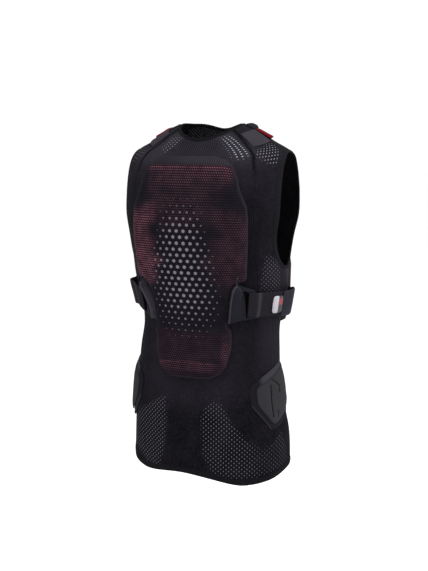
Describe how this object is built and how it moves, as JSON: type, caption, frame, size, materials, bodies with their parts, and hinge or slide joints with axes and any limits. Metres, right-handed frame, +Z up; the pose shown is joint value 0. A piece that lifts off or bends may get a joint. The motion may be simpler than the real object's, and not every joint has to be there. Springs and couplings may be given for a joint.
{
  "type": "protective vest",
  "caption": "Sleeveless stretch-knit body protection vest with a back protector, a chest pad, hip pads and closed waist straps, empty and in its worn shape.",
  "frame": {"origin": "middle of the neck opening, level with the shoulders beside the neck, where the vest hangs on its wearer", "axes": "+Z up; the front of the vest faces -Y and its back +Y; the wearer's right is -X"},
  "size_m": [0.3442, 0.2794, 0.686],
  "materials": {
    "knit": "matt black stretch knit",
    "binding": "matt black elastic",
    "edge": "smooth dark grey stretch cloth",
    "mesh_over_foam": "black mesh with dark red foam showing through",
    "wing_cloth": "matt dark grey cloth over foam",
    "webbing": "matt black woven elastic",
    "grey_rubber": "matt light grey",
    "pad_cloth": "matt dark grey cloth over foam",
    "red_cloth": "matt red"
  },
  "bodies": {
    "root": {"back_panel": "knit", "front_panel": "knit", "side_panel_right": "knit", "side_panel_left": "knit", "neck_binding": "binding", "hem_band": "binding", "armhole_binding_right": "edge", "armhole_binding_left": "edge", "back_protector": "mesh_over_foam", "chest_protector": "mesh_over_foam", "wing_right": "wing_cloth", "wing_left": "wing_cloth", "strap_right": "webbing", "strap_left": "webbing", "strap_end_right": "webbing", "strap_end_left": "webbing", "pull_tab_right": "grey_rubber", "pull_tab_left": "grey_rubber", "hip_base_right": "pad_cloth", "hip_base_left": "pad_cloth", "hip_core_right": "pad_cloth", "hip_core_left": "pad_cloth", "shoulder_patch_right": "edge", "shoulder_patch_left": "edge", "shoulder_flap_right": "binding", "shoulder_flap_left": "binding", "brace_tab_right": "red_cloth", "brace_tab_left": "red_cloth"}
  },
  "joints": []
}
